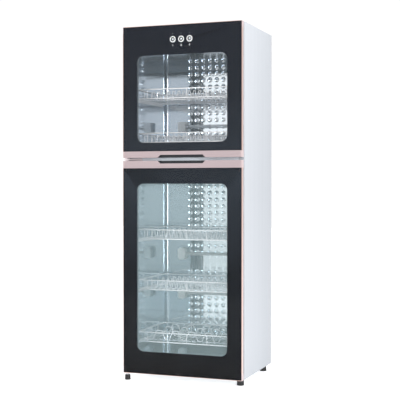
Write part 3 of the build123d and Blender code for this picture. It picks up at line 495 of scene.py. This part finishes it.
# the dark zones, as the middle and half the size of each, in metres
across_windows = within(frame_plastic, "X", 0.0, 0.235)
low_window = within(frame_plastic, "Z", 0.489, 0.389)
high_window = within(frame_plastic, "Z", 1.212, 0.208)
either_window = scalar_math(frame_plastic, "MAXIMUM", low_window, high_window)
recolour(frame_plastic, scalar_math(frame_plastic, "MULTIPLY", across_windows, either_window),
         "#50595f")
print("dark zone in", frame_plastic.name)

# %% [markdown]
# ### Rose anodised aluminium
#
# The door frame and the two handles are extruded aluminium. The surface is brushed along
# the extrusion and then anodised, which grows a clear, dyed layer of oxide: the metal still
# shines through, softly, in a pale rose. Brushing lines run along the profile, a few tenths
# of a millimetre apart and centimetres long, drawn 1.2 mm apart.
#
# The finger grips are pockets whose inside is painted dark and not metallic: painted shade
# of the recess. The pocket is part of the handle's solid, so its colour is chosen by place:
# inside the band, behind the front skin.

# %% Anodised aluminium
BRUSH_WIDTH, BRUSH_LENGTH = 1.2, 90  # in millimetres
GRIP_HALF_WIDTH = 108.5 * MM
FRONT_SKIN = 1.0 * MM


def anodised(name, dark, light, brushing):
    """Brushed aluminium; the brushing is the size of its lines along each axis."""
    return grained(name, dark, light, brushing, (0.28, 0.42), depth_mm=0.02, detail=3.0,
                   Metallic=1.0)


frame_aluminium = anodised("anodised_aluminium_rose_stile", "#cdb0a8", "#dcc1b9",
                           (BRUSH_WIDTH, BRUSH_WIDTH, BRUSH_LENGTH))
handle_aluminium = anodised("anodised_aluminium_rose_handle", "#b3a3a6", "#c4b4b6",
                            (BRUSH_LENGTH, BRUSH_WIDTH, BRUSH_WIDTH))
finishes["rose_aluminium"] = frame_aluminium
door_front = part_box("upper_door_glass")[0].y
behind_skin = scalar_math(handle_aluminium, "GREATER_THAN", coordinate(handle_aluminium, "Y"),
                          door_front + FRONT_SKIN)
# painted shade: inside the grip pocket the colour is dark and not metallic
painted_pocket_shade = scalar_math(handle_aluminium, "MULTIPLY", behind_skin,
                        within(handle_aluminium, "X", 0.0, GRIP_HALF_WIDTH))
recolour(handle_aluminium, painted_pocket_shade, "#171a22")
feed(handle_aluminium, "Metallic", scalar_math(handle_aluminium, "SUBTRACT", 1.0, painted_pocket_shade))
print(frame_aluminium.name, handle_aluminium.name)

# %% [markdown]
# ### Black ceramic enamel
#
# The border is a ceramic ink, screen printed on the back of the glass and fused to it when
# the glass is tempered. Seen through the glass it is a deep, slightly blue black. The soft
# glow of the room on it, which changes slowly down the door, is painted reflection: the
# border is its own thin solid, so a colour ramp over the height carries it.

# %% Enamel
enamel = new_finish("black_ceramic_enamel", Roughness=0.3, Specular_IOR_Level=0.1)
painted_reflection_height = scalar_math(enamel, "MULTIPLY_ADD", noise(enamel, (120, 120, 300), 1.0), 0.16,
                         coordinate(enamel, "Z"))
# painted reflection: the lighter stops of the ramp stand for the room's glow on the glass
painted_reflection_ramp = add_node(enamel.node_tree, "ShaderNodeValToRGB",
                    {0: span(enamel, painted_reflection_height, 0.10, 1.60)})
stops = painted_reflection_ramp.color_ramp.elements
stops[0].color = linear("#07080c")
stops[1].color = linear("#222732")
for position, code in ((0.12, "#161a20"), (0.32, "#1a1f26"), (0.56, "#353d47"),
                       (0.80, "#262c35")):
    stops.new(position).color = linear(code)
feed(enamel, "Base Color", painted_reflection_ramp.outputs["Color"])
finishes["black_enamel"] = enamel
print(enamel.name, "with", len(stops), "stops")

# %% [markdown]
# ### Tempered glass
#
# Glass reflects about 4 percent of the light and lets the rest through. A thin pane can be
# drawn with real refraction, but soft lights then hardly reach what is behind it and the
# picture gets noisy. A pane does not bend the view, so it is drawn as a clear skin instead:
# mostly transparent, with a slight milky veil over the windows that is painted reflection of
# the room on the glass. The veil is stronger on the lower door. It stops at the printed
# border, which is a rectangle with rounded corners: the distance to that shape is worked out
# from the coordinates.

# %% Door glass
BORDER_ALPHA = 0.20  # how much of the glass shows over the printed border
WINDOW_HALF_WIDTH, WINDOW_RADIUS = 0.204, 0.028  # in metres


def door_glass(name, window_low, window_high, reflection_veil_colour, reflection_veil_alpha):
    """Tempered glass whose veil of painted reflection covers only the window between two heights,
    in metres.
    """
    glass = new_finish(name, Roughness=0.03)
    middle = Vector((0.0, 0.0, (window_low + window_high) / 2))
    # the depth does not count, so the inner box is far deeper than the glass
    inner = Vector((WINDOW_HALF_WIDTH - WINDOW_RADIUS, 9.0,
                    (window_high - window_low) / 2 - WINDOW_RADIUS))
    place = add_node(glass.node_tree, "ShaderNodeTexCoord").outputs["Object"]
    centred = vector_math(glass, "SUBTRACT", place, middle).outputs[0]
    folded = vector_math(glass, "ABSOLUTE", centred).outputs[0]
    beyond = vector_math(glass, "SUBTRACT", folded, inner).outputs[0]
    outside = vector_math(glass, "MAXIMUM", beyond, (0, 0, 0)).outputs[0]
    reach = vector_math(glass, "LENGTH", outside).outputs["Value"]
    # painted reflection: a pale veil over the window only, fading out at the rounded border
    painted_reflection_veil = span(glass, reach, WINDOW_RADIUS - 1 * MM, WINDOW_RADIUS, 1.0, 0.0)
    tone(glass, painted_reflection_veil, "#080a0e", reflection_veil_colour)
    feed(glass, "Alpha", span(glass, painted_reflection_veil, 0, 1, BORDER_ALPHA, reflection_veil_alpha))
    return glass


upper_glass = door_glass("tempered_glass_upper", 1.0261, 1.3981, "#9aa6ab", 0.07)
lower_glass = door_glass("tempered_glass_lower", 0.1276, 0.8506, "#b2cacf", 0.15)
print(upper_glass.name, lower_glass.name)

# %% [markdown]
# ### Hinges, screws and buttons
#
# The hinge plates are steel with a pale satin paint. Screws are zinc plated steel. The
# button rings are chromium plated brass. The caps have a silver domed face, and the sunk
# skirt under it is painted dark: painted shade of the groove round the cap. The light guides
# are clear acrylic. The numbers are screen printed in white ink.

# %% Small parts
finishes["hinge_steel"] = grained("painted_hinge_steel", "#e0d3d6", "#efe5e7", 3, 0.4,
                                  depth_mm=0.03)
screw_zinc = grained("zinc_plated_steel", "#a8adb1", "#cdd1d4", 1.5, (0.22, 0.4), Metallic=1.0)
chromium = grained("chromium_plated_brass", "#f4f6f9", "#fdfdfe", 6, (0.05, 0.14), detail=1.0,
                   Metallic=1.0)
finishes["screw_steel"] = screw_zinc
finishes["button_chrome"] = chromium
finishes["light_pipe"] = grained("clear_acrylic", "#dde1e6", "#f4f6f8", (2, 6, 2), 0.1,
                                 detail=1.0, IOR=1.49, Alpha=0.5)
marking_ink = grained("screen_printed_ink_white", "#e4e7ec", "#f4f6f8", 1, 0.6)

SKIRT_LEVEL = 1.3 * MM  # how far in front of the glass the silver face ends
button_lacquer = grained("lacquered_abs_silver", "#dde3ec", "#f2f5f9", 1, 0.10, Metallic=1.0)
# painted shade: the cap is dark below its silver face, down in the groove
recolour(button_lacquer, scalar_math(button_lacquer, "GREATER_THAN",
                                     coordinate(button_lacquer, "Y"), door_front - SKIRT_LEVEL),
         "#0c0d10")
finishes["button_plastic"] = button_lacquer
print(len(finishes), "finishes")

# %% [markdown]
# ### Which solid gets which finish
#
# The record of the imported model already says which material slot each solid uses, so the
# finishes are handed out by slot. Only the glass and the handles need their own.

# %% Hand out the finishes
own_finish = {
    "upper_door_glass": upper_glass,
    "lower_door_glass": lower_glass,
    "upper_door_handle": handle_aluminium,
    "lower_door_handle": handle_aluminium,
}
slots = {part["node"]: part["material_slot"] for part in frame["record"]["subparts"]}
for node_name, node in nodes.items():
    node.data.materials.clear()
    node.data.materials.append(own_finish.get(node_name) or finishes[slots[node_name]])
print(len(slots), "nodes have a slot")

# %% [markdown]
# ## Building pieces
#
# The round pieces are made in mesh code. Two shapes cover nearly all of them: a tube that
# follows a line of points, for wires, coils and pins, and a profile turned round an axis,
# for buttons, feet and lamp caps. Curves with a bevel could make the tubes too, but
# building the rings directly keeps full control of the number of faces, and the final mesh
# is then known from the start.

# %% Add a mesh as a piece that rides on a body
def add_piece(name, shapes, finish, body, replaced=(), sharp=35):
    """Join shapes, each a list of vertices and a list of faces, into one piece on a body."""
    vertices, faces = [], []
    for shape_vertices, shape_faces in shapes:
        base = len(vertices)
        vertices += shape_vertices
        faces += [tuple(base + index for index in face) for face in shape_faces]
    mesh = bpy.data.meshes.new(name)
    mesh.from_pydata(vertices, [], faces)
    mesh.validate()
    mesh.shade_smooth()
    mesh.set_sharp_from_angle(angle=math.radians(sharp))
    mesh.materials.append(finish)
    piece = bpy.data.objects.new(name, mesh)
    scene.collection.objects.link(piece)
    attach(piece, body)
    if replaced:
        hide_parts(*replaced)
    return piece


# %% Tubes along a line of points
def tube(points, radius, sides=10, closed=False):
    """A round tube whose rings stay square to the line; it has flat ends unless closed."""
    points = [Vector(point) for point in points]
    count = len(points)
    vertices, faces = [], []
    across = None
    for number, point in enumerate(points):
        if closed:
            ahead = (points[(number + 1) % count] - points[number - 1]).normalized()
        else:
            ahead = (points[min(number + 1, count - 1)] - points[max(number - 1, 0)]).normalized()
        if across is None:
            across = ahead.orthogonal().normalized()
        across = (across - ahead * across.dot(ahead)).normalized()
        upward = ahead.cross(across)
        for side in range(sides):
            angle = 2 * math.pi * side / sides
            offset = across * math.cos(angle) + upward * math.sin(angle)
            vertices.append(tuple(point + offset * radius))
    rings = count if closed else count - 1
    for ring in range(rings):
        here, there = ring * sides, ((ring + 1) % count) * sides
        for side in range(sides):
            after = (side + 1) % sides
            faces.append((here + side, here + after, there + after, there + side))
    if not closed:
        faces.append(tuple(reversed(range(sides))))
        faces.append(tuple(range((count - 1) * sides, count * sides)))
    return vertices, faces


def bent(corners, radius, steps, closed=False):
    """The points of a line through the corners, with each bend rounded to a radius in steps."""
    corners = [Vector(corner) for corner in corners]
    count = len(corners)
    points = []
    for number, corner in enumerate(corners):
        if not closed and number in (0, count - 1):
            points.append(corner)
            continue
        back = corners[number - 1] - corner
        ahead = corners[(number + 1) % count] - corner
        half_angle = back.angle(ahead) / 2
        cut = min(radius / math.tan(half_angle), back.length * 0.49, ahead.length * 0.49)
        start, end = corner + back.normalized() * cut, corner + ahead.normalized() * cut
        for step in range(steps + 1):
            share = step / steps
            points.append(
                start * (1 - share) ** 2 + corner * 2 * share * (1 - share) + end * share ** 2
            )
    return points


# %% Profiles turned round an axis
def turned(profile, centre, axis, segments=32):
    """Turn a profile of (radius, distance along the axis), in millimetres, round an axis."""
    along = Vector(axis)
    across = along.orthogonal().normalized()
    third = along.cross(across)
    centre = Vector(centre)
    vertices, faces, rings = [], [], []
    for radius, distance in profile:
        spine = centre + along * distance * MM
        if radius < 1e-6:
            rings.append([len(vertices)] * segments)
            vertices.append(tuple(spine))
            continue
        rings.append(list(range(len(vertices), len(vertices) + segments)))
        for segment in range(segments):
            angle = 2 * math.pi * segment / segments
            offset = across * math.cos(angle) + third * math.sin(angle)
            vertices.append(tuple(spine + offset * radius * MM))
    for ring, following in zip(rings, rings[1:]):
        for segment in range(segments):
            after = (segment + 1) % segments
            corners = [ring[segment], ring[after], following[after], following[segment]]
            unique = list(dict.fromkeys(corners))
            if len(unique) > 2:
                faces.append(tuple(unique))
    return vertices, faces


sample_vertices, sample_faces = tube([(0, 0, 0), (0, 0, 1)], 0.1)
print("a plain tube has", len(sample_vertices), "vertices and", len(sample_faces), "faces")

# %% [markdown]
# ## The racks
#
# Each rack is a welded basket of plated wire: two 5 mm rails one above the other, thin
# floor wires from front to back, a few uprights between the rails, two cross wires under
# the floor and three wires bent into waves that plates lean against. The CAD racks have
# square mesh wires and few of them, which is enough for weight and contact. These have
# round wires at their real spacing. The lowest rack has wide waves for bowls, the others
# narrow ones for plates.

# %% Wire racks
RAIL_RADIUS, WIRE_RADIUS = 2.5 * MM, 1.7 * MM
FLOOR_PITCH, UPRIGHT_PITCH = 23 * MM, 92 * MM
FLOOR_LIFT = 1.1 * MM  # floor wires lie above the middle of the rail, cross wires below it
WAVE_SPAN = 384 * MM
NARROW_WAVES = (24 * MM, 33 * MM, 1.75 * MM)  # pitch, height and wire radius
WIDE_WAVES = (76.8 * MM, 40 * MM, 2.2 * MM)


def waved_wire(y, foot, pitch, height, radius):
    """A wire bent into waves that stand on the floor wires, along X."""
    count = round(WAVE_SPAN / pitch)
    crest = foot + height
    corners = [(-WAVE_SPAN / 2, y, foot)]
    for number in range(count):
        start = (number - count / 2) * pitch
        corners += [(start + share * pitch, y, z) for share, z in
                    ((0.12, foot), (0.34, crest), (0.66, crest), (0.88, foot))]
    corners.append((WAVE_SPAN / 2, y, foot))
    return tube(bent(corners, 0.12 * pitch, 3), radius, 8)


def wire_rack(name, waves):
    """One rack inside its CAD rack's box."""
    low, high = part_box(name)
    half = high.x - RAIL_RADIUS
    front, back = low.y + RAIL_RADIUS, high.y - RAIL_RADIUS
    bottom, top = low.z + RAIL_RADIUS, high.z - RAIL_RADIUS
    shapes = []
    for level in (bottom, top):
        corners = [(-half, front, level), (half, front, level), (half, back, level),
                   (-half, back, level)]
        shapes.append(tube(bent(corners, 18 * MM, 5, closed=True), RAIL_RADIUS, closed=True))
    floor_z, cross_z = bottom + FLOOR_LIFT, bottom - FLOOR_LIFT
    wires = [((number * FLOOR_PITCH, front, floor_z), (number * FLOOR_PITCH, back, floor_z))
             for number in range(-9, 10)]
    wires += [((-half, y, cross_z), (half, y, cross_z)) for y in (front + 70 * MM, back - 70 * MM)]
    uprights = [(number * UPRIGHT_PITCH, y) for number in range(-2, 3) for y in (front, back)]
    uprights += [(side * half, y) for side in (-1, 1)
                 for y in (front + 75 * MM, (front + back) / 2, back - 75 * MM)]
    wires += [((x, y, bottom), (x, y, top)) for x, y in uprights]
    shapes += [tube(ends, WIRE_RADIUS, 8) for ends in wires]
    # three waves make two rows of plates
    for wave_y in (front + 62 * MM, front + 171.7 * MM, back - 48 * MM):
        shapes.append(waved_wire(wave_y, floor_z, *waves))
    rack = add_piece(name + "_wires", shapes, rack_wire, name, [name])
    print(rack.name, len(rack.data.polygons), "faces")


for rack_name in ("upper_rack_high", "upper_rack_low", "lower_rack_high", "lower_rack_middle"):
    wire_rack(rack_name, NARROW_WAVES)
wire_rack("lower_rack_low", WIDE_WAVES)

# %% [markdown]
# ## Embossed back sheets
#
# The sheet behind the racks is pressed with a regular field of small round bumps, about
# 22 mm wide on a 32 mm grid, with flat mirror between them. The CAD sheets carry square
# pyramids on the same grid, which is the same stiffening with few faces. The bumps could be
# painted with a bump map, but in a mirror the real shape shows in every reflection, so they
# are pressed into the mesh: a fine grid whose points rise over each bump along a smooth curve.
# The lower sheet has a plain strip, 60 mm high, between two fields of bumps.

# %% Pressed sheets
COLUMNS = 8
COLUMN_PITCH, ROW_PITCH = 32.5 * MM, 30.5 * MM
BUMP_RADIUS, BUMP_HEIGHT = 11 * MM, 1.7 * MM
SHEET = 0.8 * MM


def rise_at(distance):
    """How far a bump stands out at a distance from its middle."""
    if distance >= BUMP_RADIUS:
        return 0.0
    share = distance / BUMP_RADIUS
    return BUMP_HEIGHT * (1 - share * share) ** 1.5


def pressed_sheet(name, row_levels):
    """A back sheet with columns of bumps at the given row heights."""
    low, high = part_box(name)
    face = high.y - SHEET
    columns = [(number - (COLUMNS - 1) / 2) * COLUMN_PITCH for number in range(COLUMNS)]

    def grid_lines(start, end, centres):
        """Close lines across the bumps, and none over the flat stretches."""
        lines = {round(start, 5), round(end, 5)}
        for centre in centres:
            for step in range(-6, 7):
                lines.add(round(centre + step * BUMP_RADIUS / 6, 5))
        return sorted(line for line in lines if start <= line <= end)

    xs = grid_lines(low.x, high.x, columns)
    zs = grid_lines(low.z, high.z, row_levels)
    vertices = []
    for z in zs:
        near_row = min(row_levels, key=lambda level: abs(level - z))
        for x in xs:
            near_column = min(columns, key=lambda centre: abs(centre - x))
            distance = math.hypot(x - near_column, z - near_row)
            vertices.append((x, face - rise_at(distance), z))
    width = len(xs)
    faces = []
    for row in range(len(zs) - 1):
        for column in range(width - 1):
            here = row * width + column
            faces.append((here, here + 1, here + width + 1, here + width))
    back = [(x, high.y, z) for x, z in ((low.x, low.z), (high.x, low.z), (high.x, high.z),
                                        (low.x, high.z))]
    base = len(vertices)
    vertices += back
    faces.append((base, base + 3, base + 2, base + 1))
    sheet = add_piece(name + "_pressed", [(vertices, faces)], embossed_steel, "cabinet",
                      [name], sharp=80)
    print(sheet.name, len(faces), "faces")


field_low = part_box("upper_liner_back")[0].z + 18 * MM
pressed_sheet("upper_liner_back", [field_low + (row + 0.5) * ROW_PITCH for row in range(14)])
strip_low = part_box("lower_liner_back")[0].z + 361 * MM
strip_high = strip_low + 60 * MM
pressed_sheet("lower_liner_back", [strip_low - (row + 0.5) * ROW_PITCH for row in range(10)]
              + [strip_high + (row + 0.5) * ROW_PITCH for row in range(12)])

# %% [markdown]
# ## Buttons
#
# Three round push buttons sit in the black border. Each has a polished chromium ring whose
# flat brim lies on the glass, and a cap whose silver dome stands on a sunk dark skirt. The
# brim catches the light, and its bevelled edges set it off from the glass: a turned profile
# gives them for the price of a few numbers.

# %% Rings and caps
button_names = ("left_button", "middle_button", "right_button")
ring_profile = [(9.3, 9.0), (11, 9.0), (11, 0), (13, 0), (13, -0.7), (12.6, -1.2), (9.8, -1.2),
                (9.3, -0.5), (9.3, 9.0)]
cap_profile = [(0, -2.9), (1.6, -2.85), (3.0, -2.5), (3.8, -2.0), (4.3, -1.4), (6.8, 1.8),
               (8.9, 2.6), (9.0, 9.3), (10.3, 9.3), (10.3, 10.5), (0, 10.5)]
rings = []
button_centres = {}
for name in button_names:
    low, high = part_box(name)
    centre = Vector(((low.x + high.x) / 2, door_front, (low.z + high.z) / 2))
    button_centres[name] = centre
    rings.append(turned(ring_profile, centre, (0, 1, 0), 48))
    add_piece(name + "_cap", [turned(cap_profile, centre, (0, 1, 0), 48)], button_lacquer, name,
              [name], sharp=50)
add_piece("button_rings", rings, chromium, "upper_door", ["button_bezels"],
          sharp=30)
print({name: tuple(round(c, 4) for c in centre) for name, centre in button_centres.items()})

# %% [markdown]
# Under each button is its number and above it a pinhole for the indicator light. Both are
# printed, so they are the thinnest of shapes just on the glass.

# %% Numbers and light spots
NUMBER_DROP, LIGHT_RISE = 26 * MM, 25 * MM  # from the middle of a button
INK_FACE = 0.03 * MM  # the middle of the ink, in front of the glass
spots = []
for digit, name in zip("123", button_names):
    centre = button_centres[name]
    text = bpy.data.curves.new("digit_" + digit, "FONT")
    text.body = digit
    text.size = 10 * MM
    text.offset = 0.35 * MM  # thicker strokes
    text.align_x = "CENTER"
    text.align_y = "CENTER"
    text.extrude = 0.02 * MM
    source = bpy.data.objects.new("digit_source_" + digit, text)
    mesh = bpy.data.meshes.new_from_object(source)
    bpy.data.objects.remove(source)
    mesh.materials.clear()
    mesh.materials.append(marking_ink)
    mark = bpy.data.objects.new("button_number_" + digit, mesh)
    scene.collection.objects.link(mark)
    mark.location = (centre.x, door_front - INK_FACE, centre.z - NUMBER_DROP)
    mark.rotation_euler = (math.pi / 2, 0, 0)
    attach(mark, "upper_door")
    spots.append(turned([(0, -0.05), (0.9, -0.05), (1.1, 0.0), (1.1, 0.05)],
                        centre + Vector((0, 0, LIGHT_RISE)), (0, 1, 0), 20))
add_piece("indicator_spots", spots, marking_ink, "upper_door")
print("marks at", button_names)

# %% [markdown]
# ## Feet
#
# The cabinet stands on black rubber levelling feet. Each is moulded with a wider sole and
# rounded shoulders round a steel stud, with a lock nut under the base. The foot under the
# hinge is smaller and carries the hinge plate.

# %% Levelling feet
def foot_shapes(x, y, radius_mm, height_mm):
    """The rubber body of a foot, and its stud with a hexagon nut."""
    scale = radius_mm / 16
    rubber = [(0, 0), (15.0 * scale, 0), (15.8 * scale, 0.6), (16 * scale, 1.4),
              (15.9 * scale, 3.6), (15.1 * scale, 4.6), (14.8 * scale, height_mm - 9),
              (14.2 * scale, height_mm - 6.8), (12.6 * scale, height_mm - 5.4), (6, height_mm - 5),
              (0, height_mm - 5)]
    stud = [(0, height_mm - 6), (4.2, height_mm - 6), (4.2, height_mm), (0, height_mm)]
    nut = [(0, height_mm - 4.4), (7.6, height_mm - 4.4), (8.2, height_mm - 4.0),
           (8.2, height_mm - 0.9), (7.6, height_mm - 0.5), (0, height_mm - 0.5)]
    base = (x, y, 0)
    return (turned(rubber, base, (0, 0, 1), 40),
            [turned(stud, base, (0, 0, 1), 20), turned(nut, base, (0, 0, 1), 6)])


low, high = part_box("feet")
reach = 16 * MM
rubbers, steels = [], []
for x, y in ((high.x - reach, low.y + reach), (high.x - reach, high.y - reach),
             (low.x + reach, high.y - reach)):
    rubber, steel = foot_shapes(x, y, 16, 30)
    rubbers.append(rubber)
    steels += steel
add_piece("rubber_feet", rubbers, finishes["foot_rubber"], "cabinet", ["feet"])
low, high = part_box("hinge_foot")
hinge_x, hinge_y = (low.x + high.x) / 2, (low.y + high.y) / 2
rubber, steel = foot_shapes(hinge_x, hinge_y, 13, high.z / MM)
add_piece("rubber_hinge_foot", [rubber], finishes["foot_rubber"], "cabinet",
          ["hinge_foot"])
add_piece("foot_studs", steels + steel, screw_zinc, "cabinet")
print("hinge foot at", round(hinge_x, 4), round(hinge_y, 4))

# %% [markdown]
# ## Lamp and heaters
#
# The upper chamber has a clear quartz lamp between two sockets, with metal caps on its ends
# and two fine electrodes inside. The lower chamber has three heaters: a frosted quartz tube
# each, with a coil of nickel chromium wire that can be made out through the wall. A coil is
# a helix, so its points come straight from sine and cosine.

# %% Lamp
low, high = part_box("ozone_lamp")
lamp_y, lamp_z = (low.y + high.y) / 2, (low.z + high.z) / 2
lamp_end = high.x / MM
tube_profile = [(7.4, -lamp_end + 10), (7.4, lamp_end - 10)]
add_piece("lamp_tube", [turned(tube_profile, (0, lamp_y, lamp_z), (1, 0, 0))], lamp_glass,
          "cabinet", ["ozone_lamp"])
caps = []
for side in (-1, 1):
    caps.append(turned([(0, lamp_end - 14), (6.6, lamp_end - 14), (7.7, lamp_end - 13),
                        (8.0, lamp_end - 12), (8.0, lamp_end), (0, lamp_end)],
                       (0, lamp_y, lamp_z), (side, 0, 0)))
    electrode = [(side * (lamp_end - 14) * MM, lamp_y, lamp_z),
                 (side * (lamp_end - 34) * MM, lamp_y, lamp_z)]
    caps.append(tube(electrode, 1.2 * MM, 8))
add_piece("lamp_caps", caps, screw_zinc, "cabinet")
print("lamp at", round(lamp_y, 4), round(lamp_z, 4))

# %% Heaters
MIDDLE_HEATER = 0.342  # its height over the floor, in metres
TURNS, STEPS = 42, 10  # turns of each coil, and points in a turn
COIL_RADIUS, COIL_WIRE = 3.6 * MM, 0.6 * MM
coil_metal = grained("nickel_chromium_wire", "#75706c", "#a09a93", 3, 0.4, Metallic=1.0)
low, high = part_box("quartz_heaters")
heater_y = (low.y + high.y) / 2
heater_radius = (high.y - low.y) / 2 / MM
heater_end = high.x / MM
heater_levels = (low.z + heater_radius * MM, MIDDLE_HEATER, high.z - heater_radius * MM)
tubes, coils = [], []
for level in heater_levels:
    centre = (0, heater_y, level)
    tubes.append(turned([(heater_radius - 1.2, -heater_end), (heater_radius, -heater_end),
                         (heater_radius, heater_end), (heater_radius - 1.2, heater_end)],
                        centre, (1, 0, 0)))
    helix = []
    for step in range(TURNS * STEPS + 1):
        angle = 2 * math.pi * step / STEPS
        along_x = (-heater_end + 4 + step / (TURNS * STEPS) * (2 * heater_end - 8)) * MM
        helix.append((along_x, heater_y + COIL_RADIUS * math.cos(angle),
                      level + COIL_RADIUS * math.sin(angle)))
    coils.append(tube(helix, COIL_WIRE, 6))
add_piece("heater_tubes", tubes, quartz_tube, "cabinet", ["quartz_heaters"])
add_piece("heater_coils", coils, coil_metal, "cabinet")
print("heaters at", [round(level, 4) for level in heater_levels])

# %% [markdown]
# ## Door gaskets
#
# Each door closes on a hollow PVC gasket with a magnet strip inside. Its soft sides are
# folded like bellows, so that it can follow an uneven gap, and a barb holds it in the
# groove of the inner frame. The cross-section is drawn once and carried round the four
# corners, where the real strip is cut at 45 degrees and welded.

# %% Gasket rings
def gasket(door_name):
    """A mitred ring of the gasket's cross-section inside its CAD gasket's box."""
    low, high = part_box(door_name + "_gasket")
    face = high.y
    seat = face - 7 * MM
    section = [(1.0, seat), (0.2, seat + 1.4 * MM), (1.4, seat + 2.8 * MM), (0.2, seat + 4.4 * MM),
               (1.0, face - 1.0 * MM), (2.6, face), (11.4, face), (13.0, face - 1.0 * MM),
               (13.8, seat + 4.4 * MM), (12.6, seat + 2.8 * MM), (13.8, seat + 1.4 * MM),
               (13.0, seat), (9.2, seat), (9.4, seat - 2.6 * MM), (8.4, seat - 3.9 * MM),
               (5.6, seat - 3.9 * MM), (4.6, seat - 2.6 * MM), (4.8, seat)]
    vertices, faces = [], []
    for side_x, side_z in ((-1, 0), (1, 0), (1, 1), (-1, 1)):
        for inset, y in section:
            x = side_x * (high.x - inset * MM)
            z = high.z - inset * MM if side_z else low.z + inset * MM
            vertices.append((x, y, z))
    count = len(section)
    for corner in range(4):
        here, there = corner * count, (corner + 1) % 4 * count
        for point in range(count):
            after = (point + 1) % count
            faces.append((here + point, there + point, there + after, here + after))
    add_piece(door_name + "_bellows", [(vertices, faces)], finishes["gasket_rubber"], door_name,
              [door_name + "_gasket"])


for door_name in ("upper_door", "lower_door"):
    gasket(door_name)
print("two gaskets")
